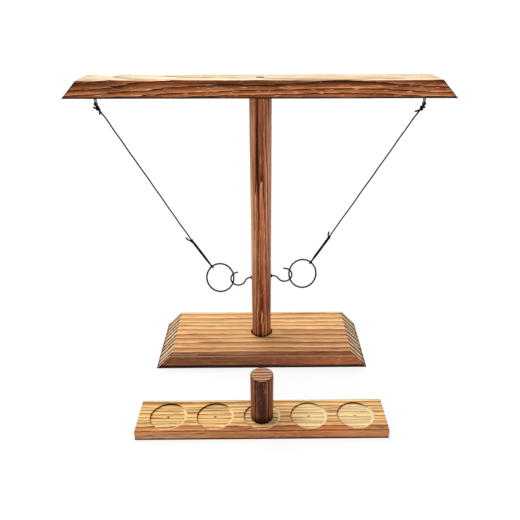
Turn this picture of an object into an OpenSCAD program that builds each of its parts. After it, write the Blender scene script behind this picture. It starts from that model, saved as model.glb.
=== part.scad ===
// Table-top ring toss set: a wooden stand with two cord-hung rings and two screw
// hooks, and a separate scoring ladder with a marker peg. Millimetres, +Z up.
// Origin: centre of the base's underside, below the post. The crossbar runs along X
// and the ladder lies in front of the stand, towards -Y.
// Side 0 is the left side (-X) and side 1 the right side (+X). Parts of a side are
// drawn in outward coordinates, where X grows away from the post, and then mirrored.

/* [Base board] */
// Length of the base board along X
base_len = 260; // [220:5:320]
// Depth of the base board along Y
base_depth = 97; // [80:1:120]
// Thickness of the base board
base_thick = 21.5; // [18:0.5:26]
// Horizontal run of the bevel at each end of the base
base_bevel = 20.5; // [10:0.5:24]
// Radius of the long top edges of the base
base_edge_r = 4; // [2:0.5:6]
// Diameter of the socket that the post stands in
socket_d = 26; // [25:0.5:30]
// Depth of the socket
socket_depth = 8; // [4:1:10]

/* [Post and crossbar] */
// Diameter of the post
post_d = 24; // [22:1:24]
// Height of the crossbar's underside above the table
bar_z = 317; // [280:1:360]
// Length of the crossbar
bar_len = 400; // [380:5:460]
// Depth of the crossbar
bar_depth = 42; // [30:1:50]
// Thickness of the crossbar
bar_thick = 18; // [16:1:24]
// Horizontal run of the bevel at each end of the crossbar
bar_bevel = 17.5; // [10:0.5:20]
// Radius of the long top edges of the crossbar
bar_edge_r = 2; // [1:0.5:4]

/* [Screws] */
// Shank diameter of the two wood screws
screw_d = 4; // [3:0.5:5]
// Head diameter of the two wood screws
screw_head_d = 8; // [7:0.5:9]
// Length of each wood screw under its head
screw_len = 42; // [30:1:50]

/* [Hooks and eyes] */
// Wire diameter of the hooks
hook_wire_d = 2; // [1.6:0.1:2.4]
// Radius of the open curl, to the middle of the wire
hook_curl_r = 9; // [8:0.5:9]
// Distance from the post's surface to the centre of the curl
hook_reach = 16.5; // [16:0.5:18]
// Height of the left hook's shank above the table
hook_left_z = 101; // [96:1:106]
// Height of the right hook's shank above the table
hook_right_z = 103; // [98:1:108]
// Wire diameter of the screw eyes
eye_wire_d = 1.4; // [1.2:0.1:2]
// Radius of a screw eye, to the middle of the wire
eye_r = 3.7; // [3.5:0.1:4]
// Distance from the post's axis to each screw eye
eye_x = 172; // [165:1:180]

/* [Rings and cords] */
// Wire diameter of the rings
ring_wire_d = 2; // [1.6:0.1:2.4]
// Radius of a ring, to the middle of the wire
ring_r = 17; // [16:0.5:18]
// Diameter of the cord
cord_d = 1.6; // [1.4:0.1:1.7]

/* [Scoring ladder] */
// Length of the ladder board
ladder_len = 264; // [250:1:280]
// Depth of the ladder board
ladder_depth = 48; // [44:1:54]
// Thickness of the ladder board
ladder_thick = 10; // [8:1:14]
// Distance from the post's axis to the ladder's centre line
ladder_gap = 141; // [110:1:180]
// Number of round recesses
recess_count = 5; // [5:2:5]
// Distance between neighbouring recesses
recess_pitch = 50; // [44:1:52]
// Diameter of a recess
recess_d = 38; // [30:1:40]
// Depth of a recess
recess_depth = 1.6; // [1:0.1:3]
// Diameter of the marker peg
peg_d = 24; // [20:1:26]
// Height of the marker peg
peg_h = 57; // [40:1:70]

/* [Hidden] */
$fn = 48;
// Facets round the small wire and cord parts.
fine_fn = 20;

// Cut tools pass this far beyond the faces that they open.
over = 1;
// Radial room between a driven screw, hook or eye and its pilot hole.
pilot_gap = 0.03;
// Pilot holes run this much deeper than what is driven into them.
pilot_end = 0.5;
// Radial room between a cord loop and the ring or the screw eye that it is tied to.
loop_gap = 0.2;
eye_loop_gap = 0.5;
// Sides of a swept cord.
cord_sides = 8;

post_r = post_d / 2;
cord_r = cord_d / 2;
post_foot_z = base_thick - socket_depth;
bar_top_z = bar_z + bar_thick;

// Wood screws: countersunk heads with a cross recess.
screw_cone_h = 2.4;
screw_rim_h = 0.5;
screw_recess_len = 4.2;
screw_recess_w = 0.9;
screw_recess_h = 1.5;
screw_clear_d = 4.4;
// Room round a sunk screw head, across its diameter.
screw_head_room = 0.4;
base_counterbore_d = 9;
base_counterbore_h = 3;

// Screw eyes: the loop stands just clear of the crossbar's underside.
eye_clear = 0.6;
eye_shank_len = 12;
// Turn of the eye's plane about the vertical, from facing the front.
eye_turn = 60;
eye_centre_z = bar_z - eye_clear - eye_wire_d / 2 - eye_r;
eye_seat = [eye_x, 0, eye_centre_z - eye_r];

// Screw hooks: shank, straight start, neck bend, then the curl, open towards the post.
hook_z = [hook_left_z, hook_right_z];
// Upward tilt of each hook as it is screwed in.
hook_tilt = [-6.5, 4.4];
hook_straight = 2;
hook_shank_len = 10;
hook_collar_d = 5;
hook_collar_h = 0.8;
hook_tip_angle = 98;
hook_collar_x = 0.3;
hook_sides = 12;
// The wire narrows to this radius at its rounded tip.
hook_tip_r = hook_wire_d / 3;
neck_steps = 5;
curl_steps = 24;
// Rounded ends and knots stand this much proud of the wire or cord that runs into them.
tip_swell = 0.08;
neck_r = (pow(hook_reach - hook_straight, 2) - pow(hook_curl_r, 2)) / (2 * hook_curl_r);
neck_turn = atan2(neck_r, hook_reach - hook_straight);
curl_sweep = 180 - neck_turn + hook_tip_angle;
// Middle line of the hook's wire, in its own X-Z plane, with its root at the origin.
hook_path = concat(
    [[-hook_shank_len, 0, 0], [0, 0, 0]],
    [for (i = [0:neck_steps])
        let (a = 90 - (90 - neck_turn) * i / neck_steps)
            [hook_straight + neck_r * cos(a), 0, neck_r * (sin(a) - 1)]],
    [for (i = [1:curl_steps])
        let (a = neck_turn - 180 + curl_sweep * i / curl_steps)
            [hook_reach + hook_curl_r * cos(a), 0, hook_curl_r * sin(a)]],
    [[hook_reach + hook_curl_r * cos(hook_tip_angle) - sin(hook_tip_angle) * hook_tip_r, 0,
      hook_curl_r * sin(hook_tip_angle) + cos(hook_tip_angle) * hook_tip_r]]);

// Rings: the rest pose hangs each ring in its hook's curl, leaning back and turned
// a little outwards. The cord loop sits at loop_angle on the ring.
ring_from_curl = [21.5, -4, 4];
ring_turn = 24;
ring_lean = 32;
loop_angle = 116;
ring_u = [-cos(ring_turn), sin(ring_turn), 0];
ring_w = [sin(ring_turn) * sin(ring_lean), cos(ring_turn) * sin(ring_lean), cos(ring_lean)];
function curl_centre(side) =
    [post_r + hook_reach * cos(hook_tilt[side]), 0,
     hook_z[side] + hook_reach * sin(hook_tilt[side])];
function ring_centre(side) = curl_centre(side) + ring_from_curl;
function ring_at(side, angle) =
    ring_centre(side) + ring_r * (cos(angle) * ring_u + sin(angle) * ring_w);
ring_tangent = -sin(loop_angle) * ring_u + cos(loop_angle) * ring_w;

// Routes of the two cords in outward coordinates, from the upper knot to the lower one.
cord_route = [
    [[170.5, 0, 304], [163, 0, 292.5], [157, 0, 281.5], [150.5, 0, 270.5],
     [144.5, 0, 259.5], [138, 0, 248.5], [132, 0, 238], [125.5, 0, 227],
     [119.5, 0, 216], [113, 0, 205], [107, 0, 194], [100.5, 0, 183],
     [94.5, 0, 172], [88, 0, 161.5], [82, 0, 150.5]],
    [[170.5, 0, 304], [163, 0, 293], [156.5, 0, 282], [150, 0, 271.5],
     [144, 0, 261], [137.5, 0, 250], [131, 0, 239.5], [125, 0, 229],
     [118.5, 0, 218.5], [112, 0, 207.5], [106, 0, 197], [99.5, 0, 186.5],
     [93, 0, 176], [86.5, 0, 165], [80.5, 0, 154.5]]];
// Where each doubled loop bends, at the lower end of the lower knot.
loop_pivot = [[78.5, 0, 145.5], [77.5, 0, 149.5]];
// Free ends of the cord at each knot, measured from that knot.
upper_tags = [[[4, -1, 1.5], [-0.5, 1, -6]], [[-6.5, -1, -3], [3.5, 1.5, 0]]];
lower_tags = [[[6.5, -2.5, 5.5]], [[-0.5, -2.5, 8]]];
upper_knot_r = 2.1;
lower_knot_r = 1.7;
// Radius of the wrapped neck between the two ends of the lower knot.
lower_neck_r = 1.5;
knot_clear = 0.25;

function unit(v) = v / norm(v);
function route_end(side) = cord_route[side][len(cord_route[side]) - 1];
function route_dir(p, i) = unit(p[min(i + 1, len(p) - 1)] - p[max(i - 1, 0)]);
function tube_points(p, r, n, end_r) = [
    for (i = [0:len(p) - 1])
        let (t = route_dir(p, i), a = unit(cross(t, [0, 1, 0])), b = cross(t, a),
             ring_r = i == len(p) - 1 ? end_r : r)
            for (k = [0:n - 1])
                p[i] + ring_r * (cos(360 * k / n) * a + sin(360 * k / n) * b)];
function tube_faces(m, n) = concat(
    [[for (k = [0:n - 1]) k]],
    [[for (k = [n - 1:-1:0]) (m - 1) * n + k]],
    [for (i = [0:m - 2], k = [0:n - 1]) [i * n + (k + 1) % n, i * n + k, (i + 1) * n + k]],
    [for (i = [0:m - 2], k = [0:n - 1])
        [i * n + (k + 1) % n, (i + 1) * n + k, (i + 1) * n + (k + 1) % n]]);

// Draws its children on one side of the post.
module on_side(side) {
    if (side == 0) mirror([1, 0, 0]) children();
    else children();
}

// Places its children at p, with their X, Y and Z along a, b and c.
module in_frame(p, a, b, c) {
    multmatrix([[a.x, b.x, c.x, p.x], [a.y, b.y, c.y, p.y], [a.z, b.z, c.z, p.z], [0, 0, 0, 1]])
        children();
}

// A round rod from a to b.
module rod(a, b, r) {
    v = b - a;
    translate(a) rotate([0, acos(v.z / norm(v)), atan2(v.y, v.x)])
        cylinder(h = norm(v), r = r, $fn = fine_fn);
}

// An arc of round wire about Z.
module wire_arc(bend_r, wire_r, from, sweep) {
    rotate([0, 0, from]) rotate_extrude(angle = sweep)
        translate([bend_r, 0]) circle(r = wire_r, $fn = fine_fn);
}

// A board along X with bevelled ends and rounded long top edges.
module bevelled_board(board_len, depth, thick, bevel, edge_r) {
    half = board_len / 2;
    intersection() {
        translate([0, depth / 2, 0]) rotate([90, 0, 0]) linear_extrude(depth)
            polygon([[-half, 0], [half, 0], [half - bevel, thick], [bevel - half, thick]]);
        union() {
            translate([-half, -depth / 2, 0]) cube([board_len, depth, thick - edge_r]);
            translate([-half, edge_r - depth / 2, 0]) cube([board_len, depth - 2 * edge_r, thick]);
            for (s = [-1, 1])
                translate([-half, s * (depth / 2 - edge_r), thick - edge_r])
                    rotate([0, 90, 0]) cylinder(h = board_len, r = edge_r);
        }
    }
}

// A countersunk wood screw that points down -Z, with the top of its head at z = 0.
module wood_screw() {
    difference() {
        union() {
            translate([0, 0, -screw_rim_h]) cylinder(h = screw_rim_h, d = screw_head_d);
            translate([0, 0, -screw_rim_h - screw_cone_h])
                cylinder(h = screw_cone_h, d1 = screw_d, d2 = screw_head_d);
            translate([0, 0, -screw_rim_h - screw_len]) cylinder(h = screw_len, d = screw_d);
        }
        for (a = [0, 90])
            rotate([0, 0, a]) translate([-screw_recess_len / 2, -screw_recess_w / 2, -screw_recess_h])
                cube([screw_recess_len, screw_recess_w, screw_recess_h + over]);
    }
}

// The room that a wood screw's head and shank need, opening upwards at z = 0.
module screw_room(clear_len) {
    head_d = screw_head_d + screw_head_room;
    translate([0, 0, -screw_rim_h]) cylinder(h = screw_rim_h + over, d = head_d);
    translate([0, 0, -screw_rim_h - screw_cone_h])
        cylinder(h = screw_cone_h, d1 = screw_clear_d, d2 = head_d);
    translate([0, 0, -clear_len]) cylinder(h = clear_len, d = screw_clear_d);
}

module base() {
    color("#c08a50") difference() {
        bevelled_board(base_len, base_depth, base_thick, base_bevel, base_edge_r);
        translate([0, 0, post_foot_z]) cylinder(h = socket_depth + over, d = socket_d);
        translate([0, 0, -over]) cylinder(h = base_counterbore_h + over, d = base_counterbore_d);
        translate([0, 0, base_counterbore_h]) mirror([0, 0, 1]) screw_room(post_foot_z);
    }
}

module post() {
    color("#8a4e2a") difference() {
        translate([0, 0, post_foot_z]) cylinder(h = bar_z - post_foot_z, r = post_r);
        base_screw_solid(pilot_gap);
        crossbar_screw_solid(pilot_gap);
        for (side = [0, 1])
            on_side(side) hook_pose(side)
                translate([-hook_shank_len - pilot_end, 0, 0]) rotate([0, 90, 0])
                    cylinder(h = hook_shank_len + pilot_end + over,
                             r = hook_wire_d / 2 + pilot_gap);
    }
}

module crossbar() {
    color("#96592f") difference() {
        translate([0, 0, bar_z])
            bevelled_board(bar_len, bar_depth, bar_thick, bar_bevel, bar_edge_r);
        translate([0, 0, bar_top_z]) screw_room(bar_thick + over);
        for (side = [0, 1])
            on_side(side) translate([eye_x, 0, bar_z - over])
                cylinder(h = eye_shank_len + over + pilot_end, r = eye_wire_d / 2 + pilot_gap);
    }
}

// Straight shank of each wood screw, grown by gap to cut its pilot hole.
module base_screw_solid(gap) {
    cylinder(h = base_counterbore_h + screw_rim_h + screw_len + gap, r = screw_d / 2 + gap);
}
module crossbar_screw_solid(gap) {
    depth = screw_rim_h + screw_len + gap;
    translate([0, 0, bar_top_z - depth]) cylinder(h = depth, r = screw_d / 2 + gap);
}

module base_screw() {
    color("#8d8c86") translate([0, 0, base_counterbore_h]) mirror([0, 0, 1]) wood_screw();
}

module crossbar_screw() {
    color("#5c5348") translate([0, 0, bar_top_z]) wood_screw();
}

module eye_screw(side) {
    color("#b9bcc0") on_side(side) translate([eye_x, 0, 0]) {
        translate([0, 0, eye_centre_z]) rotate([0, 0, eye_turn]) rotate([90, 0, 0])
            rotate_extrude() translate([eye_r, 0]) circle(r = eye_wire_d / 2);
        translate([0, 0, eye_centre_z + eye_r])
            cylinder(h = bar_z + eye_shank_len - eye_centre_z - eye_r, r = eye_wire_d / 2);
    }
}

// Puts its children at a hook's root on the post, with +X along the shank.
module hook_pose(side) {
    translate([post_r, 0, hook_z[side]]) rotate([0, -hook_tilt[side], 0])
        children();
}

module hook(side) {
    color("#b3a683") on_side(side) translate([post_r * (1 - cos(hook_tilt[side])), 0, 0])
        hook_pose(side) {
            polyhedron(tube_points(hook_path, hook_wire_d / 2, hook_sides, hook_tip_r),
                       tube_faces(len(hook_path), hook_sides));
            translate([hook_collar_x, 0, 0]) rotate([0, 90, 0])
                cylinder(h = hook_collar_h, d = hook_collar_d);
        }
}

// A bight of cord over a wire at p, with two legs that run to the points a and b.
module bight(p, bight_r, out, across, a, b) {
    in_frame(p, across, -out, cross(across, -out)) wire_arc(bight_r, cord_r, 0, 180);
    for (leg = [[p + bight_r * across, a], [p - bight_r * across, b]]) {
        translate(leg[0]) sphere(r = cord_r + tip_swell, $fn = fine_fn);
        rod(leg[0], leg[1], cord_r);
    }
}

module tags(knot, ends) {
    for (e = ends) {
        rod(knot, knot + e, cord_r);
        translate(knot + e) sphere(r = cord_r + tip_swell, $fn = fine_fn);
    }
}

module upper_knot(side) {
    knot = cord_route[side][0];
    along = unit(route_end(side) - eye_seat);
    eye_tangent = [cos(eye_turn), sin(eye_turn), 0];
    across = unit(cross(eye_tangent, along));
    color("#141414") on_side(side) {
        bight(eye_seat, eye_wire_d / 2 + cord_r + eye_loop_gap, along, across, knot, knot);
        translate(knot) sphere(r = upper_knot_r, $fn = fine_fn);
        tags(knot, upper_tags[side]);
    }
}

module cord(side) {
    p = cord_route[side];
    color("#141414") on_side(side)
        polyhedron(tube_points(p, cord_r, cord_sides, cord_r), tube_faces(len(p), cord_sides));
}

module lower_knot(side) {
    knot = route_end(side);
    pivot = loop_pivot[side];
    color("#141414") on_side(side) {
        for (p = [knot, pivot]) translate(p) sphere(r = lower_knot_r, $fn = fine_fn);
        rod(knot, pivot, lower_neck_r);
        tags(knot, lower_tags[side]);
    }
}

module ring_loop(side) {
    pivot = loop_pivot[side];
    seat = ring_at(side, loop_angle);
    up = unit(pivot - seat);
    across = unit(cross(ring_tangent, up));
    top = pivot - (lower_knot_r + knot_clear) * up;
    half_gap = cord_r + tip_swell;
    color("#141414") on_side(side)
        bight(seat, ring_wire_d / 2 + cord_r + loop_gap, up, across,
              top + half_gap * across, top - half_gap * across);
}

module ring(side) {
    color("#9aa0a5") on_side(side)
        in_frame(ring_centre(side), ring_u, ring_w, cross(ring_u, ring_w))
            rotate_extrude($fn = 96) translate([ring_r, 0]) circle(r = ring_wire_d / 2);
}

module ladder_board() {
    pip_d = 1.8;
    pip_h = 1;
    first = -(recess_count - 1) / 2;
    color("#c98f52") translate([0, -ladder_gap, 0]) difference() {
        translate([-ladder_len / 2, -ladder_depth / 2, 0])
            cube([ladder_len, ladder_depth, ladder_thick]);
        for (i = [0:recess_count - 1])
            translate([(first + i) * recess_pitch, 0, ladder_thick - recess_depth]) {
                cylinder(h = recess_depth + over, d = recess_d);
                translate([0, 0, -pip_h]) cylinder(h = pip_h + over, d = pip_d);
            }
    }
}

module ladder_peg() {
    edge = 0.8;
    color("#7c4627") translate([0, -ladder_gap, ladder_thick - recess_depth]) {
        cylinder(h = edge, d1 = peg_d - 2 * edge, d2 = peg_d);
        translate([0, 0, edge]) cylinder(h = peg_h - 2 * edge, d = peg_d);
        translate([0, 0, peg_h - edge]) cylinder(h = edge, d1 = peg_d, d2 = peg_d - 2 * edge);
    }
}

base();
post();
crossbar();
base_screw();
crossbar_screw();
eye_screw(0);  // eye_screw_left
eye_screw(1);  // eye_screw_right
hook(0);  // hook_left
hook(1);  // hook_right
upper_knot(0);  // upper_knot_left
upper_knot(1);  // upper_knot_right
cord(0);  // cord_left
cord(1);  // cord_right
lower_knot(0);  // lower_knot_left
lower_knot(1);  // lower_knot_right
ring_loop(0);  // ring_loop_left
ring_loop(1);  // ring_loop_right
ring(0);  // ring_left
ring(1);  // ring_right
ladder_board();
ladder_peg();
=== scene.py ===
"""Ring toss set: the looks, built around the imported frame. Metres, in the frame's own axes.

Named sizes are in millimetres unless they are multiplied by MM. Wood is a dense mesh whose
growth rings are worked out in 3-D, so that the brushed relief and the colour follow one grain.
"""

import math

import bmesh
import bpy
import numpy as np
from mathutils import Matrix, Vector


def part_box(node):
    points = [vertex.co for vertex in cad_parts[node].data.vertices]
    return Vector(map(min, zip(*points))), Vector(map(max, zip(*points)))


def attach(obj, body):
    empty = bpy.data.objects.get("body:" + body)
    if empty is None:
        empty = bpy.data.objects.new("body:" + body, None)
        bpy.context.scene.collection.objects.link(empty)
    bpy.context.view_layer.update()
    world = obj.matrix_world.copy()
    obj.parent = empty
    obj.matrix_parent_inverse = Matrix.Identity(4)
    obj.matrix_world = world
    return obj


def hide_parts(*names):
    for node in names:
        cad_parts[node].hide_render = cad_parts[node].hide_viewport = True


MM = 0.001
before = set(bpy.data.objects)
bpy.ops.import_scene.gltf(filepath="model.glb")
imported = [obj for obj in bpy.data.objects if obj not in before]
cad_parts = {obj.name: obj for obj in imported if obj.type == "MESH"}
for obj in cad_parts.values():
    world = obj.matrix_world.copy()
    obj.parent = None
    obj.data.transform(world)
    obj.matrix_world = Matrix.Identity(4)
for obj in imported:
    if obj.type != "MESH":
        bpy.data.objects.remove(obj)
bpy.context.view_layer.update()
scene = bpy.context.scene

# Sizes in mm that more than one piece goes by. X grows away from the post on either side.
SIDES = {"left": -1, "right": 1}
POST_R = 12
BAR_LOW, BAR_TOP, BAR_HALF, BAR_BEVEL = 317, 335, 200, 17.5
EYE_X, EYE_Z, EYE_R = 172, 312.0, 3.7
HOOK_REACH, HOOK_CURL_R = 16.5, 9
RING_R, WIRE_R = 17, 1.0
LADDER_Y, RECESS_PITCH, RECESS_R, RECESS_Z = -141, 50, 19, 8.4


# ------------------------------ camera
def make_camera():
    """A lens just wide of normal, a little above the crossbar and looking down at the set."""
    yaw, pitch = 0.0113, 0.474
    cam = bpy.data.objects.new("camera", bpy.data.cameras.new("camera"))
    scene.collection.objects.link(cam)
    cam.location = (0, -0.5587, 0.4075)
    cam.rotation_euler = (math.pi / 2 - pitch, 0, -yaw)
    cam.data.sensor_width = 36
    cam.data.lens = 35.8
    cam.data.shift_x = -0.0124
    cam.data.shift_y = 0.0055
    cam.data.clip_start = 0.01
    scene.camera = cam


make_camera()


# ------------------------------ mesh helpers
SHARP = math.radians(35)


def unit(v):
    """Rows of v at length 1."""
    return v / np.maximum(np.linalg.norm(v, axis=-1, keepdims=True), 1e-12)


def mesh_object(name, verts, faces):
    """A smooth-shaded mesh object. verts are in metres."""
    mesh = bpy.data.meshes.new(name)
    mesh.from_pydata([tuple(v) for v in verts], [], faces)
    mesh.validate()
    mesh.shade_smooth()
    mesh.set_sharp_from_angle(angle=SHARP)
    obj = bpy.data.objects.new(name, mesh)
    scene.collection.objects.link(obj)
    return obj


def join_parts(parts):
    """Several (verts, faces) as one."""
    verts, faces, start = [], [], 0
    for v, f in parts:
        verts.append(np.asarray(v))
        faces += [[i + start for i in face] for face in f]
        start += len(v)
    return np.vstack(verts), faces


def smooth_path(points, step):
    """A Catmull-Rom curve through points, as points about step apart."""
    p = np.asarray(points, float)
    p = np.vstack([2 * p[0] - p[1], p, 2 * p[-1] - p[-2]])
    out = []
    for i in range(1, len(p) - 2):
        n = max(2, int(np.linalg.norm(p[i + 1] - p[i]) / step))
        t = np.linspace(0, 1, n, endpoint=False)[:, None]
        out.append(0.5 * (2 * p[i] + (p[i + 1] - p[i - 1]) * t
                          + (2 * p[i - 1] - 5 * p[i] + 4 * p[i + 1] - p[i + 2]) * t ** 2
                          + (3 * p[i] - p[i - 1] - 3 * p[i + 1] + p[i + 2]) * t ** 3))
    return np.vstack([*out, p[-2][None]])


def carried_frames(path, closed=False):
    """Two crosswise unit vectors at each point, carried along the path without twist."""
    if closed:
        tangent = unit(np.roll(path, -1, 0) - np.roll(path, 1, 0))
    else:
        tangent = unit(np.gradient(path, axis=0))
    side = np.zeros_like(path)
    least = np.eye(3)[np.argmin(np.abs(tangent[0]))]
    side[0] = unit(np.cross(tangent[0], least))
    for i in range(1, len(path)):
        side[i] = unit(side[i - 1] - tangent[i] * (side[i - 1] @ tangent[i]))
    return side, np.cross(tangent, side)


def tube(path, radius, sides, closed=False):
    """A tube along path. radius is one number, one for each point, or one for each vertex."""
    path = np.asarray(path, float)
    n = len(path)
    a, b = carried_frames(path, closed)
    radius = np.asarray(radius, float)
    if radius.ndim < 2:
        radius = np.broadcast_to(np.broadcast_to(radius, (n,))[:, None], (n, sides))
    turn = np.linspace(0, 2 * math.pi, sides, endpoint=False)[None, :, None]
    spoke = np.cos(turn) * a[:, None] + np.sin(turn) * b[:, None]
    verts = path[:, None] + radius[:, :, None] * spoke
    faces = []
    for i in range(n if closed else n - 1):
        j = (i + 1) % n
        for k in range(sides):
            m = (k + 1) % sides
            faces.append([i * sides + k, i * sides + m, j * sides + m, j * sides + k])
    if not closed:
        faces.append(list(range(sides))[::-1])
        faces.append([(n - 1) * sides + k for k in range(sides)])
    return verts.reshape(-1, 3), faces


def rounded_ends(count, radius, step):
    """Radii along a tube of count points that close it with a round nose at each end."""
    along = np.arange(count) * step
    near = np.minimum(along, along[::-1])
    inside = np.clip(1 - near / radius, 0, 1)
    return radius * np.sqrt(np.maximum(1 - inside ** 2, 0.02))


def lathe(profile, segments):
    """A solid of revolution about Z from (radius, z) points, bottom to top, closed on the axis."""
    turn = np.linspace(0, 2 * math.pi, segments, endpoint=False)
    verts, faces, rows = [], [], []
    for r, z in profile:
        if r < 1e-9:
            rows.append([len(verts)] * segments)
            verts.append((0, 0, z))
        else:
            rows.append(list(range(len(verts), len(verts) + segments)))
            verts += [(r * math.cos(t), r * math.sin(t), z) for t in turn]
    for low, high in zip(rows, rows[1:]):
        for k in range(segments):
            m = (k + 1) % segments
            face = [low[k], low[m], high[m], high[k]]
            faces.append(list(dict.fromkeys(face)))
    return np.array(verts, float), faces


def filled_profile(points, step):
    """Straight runs between (radius, z) points, cut into pieces no longer than step."""
    out = [points[0]]
    for (r0, z0), (r1, z1) in zip(points, points[1:]):
        n = max(1, math.ceil(math.hypot(r1 - r0, z1 - z0) / step))
        out += [(r0 + (r1 - r0) * i / n, z0 + (z1 - z0) * i / n) for i in range(1, n + 1)]
    return out


def cube_grid(nx, ny, levels):
    """Surface of a box as a grid: rows of (a, b, c), and faces. a and b run from -1 to 1 and c
    takes the values in levels."""
    nz = len(levels) - 1
    index, coords, faces = {}, [], []

    def vert(i, j, k):
        if (i, j, k) not in index:
            index[i, j, k] = len(coords)
            coords.append((2 * i / nx - 1, 2 * j / ny - 1, levels[k]))
        return index[i, j, k]

    def quad(*corners):
        faces.append([vert(*c) for c in corners])

    for i in range(nx):
        for j in range(ny):
            quad((i, j, 0), (i, j + 1, 0), (i + 1, j + 1, 0), (i + 1, j, 0))
            quad((i, j, nz), (i + 1, j, nz), (i + 1, j + 1, nz), (i, j + 1, nz))
        for k in range(nz):
            quad((i, 0, k), (i + 1, 0, k), (i + 1, 0, k + 1), (i, 0, k + 1))
            quad((i, ny, k), (i, ny, k + 1), (i + 1, ny, k + 1), (i + 1, ny, k))
    for j in range(ny):
        for k in range(nz):
            quad((0, j, k), (0, j, k + 1), (0, j + 1, k + 1), (0, j + 1, k))
            quad((nx, j, k), (nx, j + 1, k), (nx, j + 1, k + 1), (nx, j, k + 1))
    return np.array(coords, float), faces


def board(low, high, bevel, edge_r, step):
    """A board in the box low-high, its ends bevelled and its long top edges rounded."""
    size = high - low
    middle = (low + high) / 2
    flat = np.linspace(0, 1 - edge_r / size[2], max(3, int((size[2] - edge_r) / step)))
    turn = np.linspace(0, math.pi / 2, 7)[1:] if edge_r else []
    bend = [1 - edge_r / size[2] * (1 - math.sin(t)) for t in turn]
    levels = [*flat, *bend]
    coords, faces = cube_grid(int(size[0] / step), int(size[1] / step), levels)
    a, b, c = coords.T
    up = np.maximum(c * size[2] - (size[2] - edge_r), 0)
    half_y = size[1] / 2 - edge_r + np.sqrt(np.maximum(edge_r ** 2 - up ** 2, 0))
    half_x = size[0] / 2 - bevel * c
    places = [middle[0] + a * half_x, middle[1] + b * half_y, low[2] + c * size[2]]
    return np.stack(places, 1), faces


def soften(obj, width, angle_deg=38):
    """Wears the sharp edges of obj round."""
    wear_and_highlight = obj.modifiers.new("wear_and_highlight", "BEVEL")
    wear_and_highlight.width = width
    wear_and_highlight.segments = 2
    wear_and_highlight.limit_method = "ANGLE"
    wear_and_highlight.angle_limit = math.radians(angle_deg)
    bake_modifiers(obj)


def carve(obj, cutters):
    """Cuts closed (verts, faces) shapes out of obj."""
    tools = [mesh_object(f"cutter_{i}", v, f) for i, (v, f) in enumerate(cutters)]
    for tool in tools:
        cut = obj.modifiers.new("cut", "BOOLEAN")
        cut.operation = "DIFFERENCE"
        cut.solver = "EXACT"
        cut.object = tool
    bake_modifiers(obj)
    for tool in tools:
        bpy.data.objects.remove(tool)


def bake_modifiers(obj):
    """Makes what obj's modifiers show its own mesh, without the slivers that a cut leaves."""
    graph = bpy.context.evaluated_depsgraph_get()
    graph.update()
    mesh = bpy.data.meshes.new_from_object(obj.evaluated_get(graph))
    sliver = 0.005 * MM
    edit = bmesh.new()
    edit.from_mesh(mesh)
    bmesh.ops.remove_doubles(edit, verts=edit.verts, dist=sliver)
    bmesh.ops.dissolve_degenerate(edit, edges=edit.edges, dist=sliver)
    edit.to_mesh(mesh)
    edit.free()
    obj.modifiers.clear()
    obj.data = mesh
    mesh.shade_smooth()
    mesh.set_sharp_from_angle(angle=SHARP)


# ------------------------------ grain
def lattice_noise(p, seed):
    """Smooth noise from -1 to 1 at points p, with features about 1 unit wide. The large numbers
    hash the corners of the cell round each point."""
    base = np.floor(p).astype(np.int64)
    f = p - base
    f = f * f * (3 - 2 * f)
    total = np.zeros(len(p))
    for corner in np.ndindex(2, 2, 2):
        x, y, z = (base + corner).T
        h = (x * 374761393 + y * 668265263 + z * 2147483647 + seed * 144665) & 0xFFFFFFFF
        h = ((h ^ (h >> 13)) * 1274126177) & 0xFFFFFFFF
        value = ((h ^ (h >> 16)) & 0xFFFF) / 32767.5 - 1
        weight = np.prod(np.where(corner, f, 1 - f), axis=1)
        total += value * weight
    return total


def late_wood(ring):
    """Share of dark, hard late wood, 0 to 1: it builds up slowly in each ring and ends sharply."""
    t = ring - np.floor(ring)
    return np.clip((t - 0.45) / 0.4, 0, 1) ** 1.6 * np.clip((1 - t) / 0.06, 0, 1)


class Grain:
    """Growth rings round a pith line that runs along axis (0 is X, 2 is Z). Lengths in mm."""

    def __init__(self, axis, pith, pitch, wave, seed, uneven=0.0, bow=0.0, bow_at=0.0,
                 taper=0.0):
        """pith is the pith line's place across the axis and pitch the width of a ring. wave is how
        far the rings wander, uneven how much their widths differ, bow how far they bend away from
        bow_at and taper how much they drift, in rings for each 100 mm."""
        self.axis, self.pith, self.pitch = axis, pith, pitch
        self.wave, self.uneven, self.seed = wave, uneven, seed
        self.bow, self.bow_at, self.taper = bow, bow_at, taper

    def rings(self, p):
        """Ring number, as a smooth number, at points p in metres."""
        q = p / MM
        along = q[:, self.axis]
        across = np.delete(q, self.axis, axis=1)
        radius = np.linalg.norm(across - np.array(self.pith), axis=1)
        slow = np.stack([along / 95, across[:, 0] / 26, across[:, 1] / 26], 1)
        fast = np.stack([along / 30, across[:, 0] / 9, across[:, 1] / 9], 1)
        wander = lattice_noise(slow, self.seed) + 0.3 * lattice_noise(fast, self.seed + 7)
        bend = self.bow * ((along - self.bow_at) / 100) ** 2 + self.taper * along / 100
        count = radius / self.pitch
        return count + self.uneven * np.sin(1.9 * count) + bend + self.wave * wander


def vertex_arrays(mesh):
    """Vertex places and normals."""
    n = len(mesh.vertices)
    co, normal = np.zeros(n * 3), np.zeros(n * 3)
    mesh.vertices.foreach_get("co", co)
    mesh.vertex_normals.foreach_get("vector", normal)
    return co.reshape(-1, 3), normal.reshape(-1, 3)


def store(mesh, name, values):
    """Keeps one number for each vertex, for the material to read."""
    attribute = mesh.attributes.new(name, "FLOAT", "POINT")
    attribute.data.foreach_set("value", np.asarray(values, np.float32))


def smoothstep(x, low, high):
    """0 up to low and 1 from high on, with a smooth rise between."""
    t = np.clip((x - low) / (high - low), 0, 1)
    return t * t * (3 - 2 * t)


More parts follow.
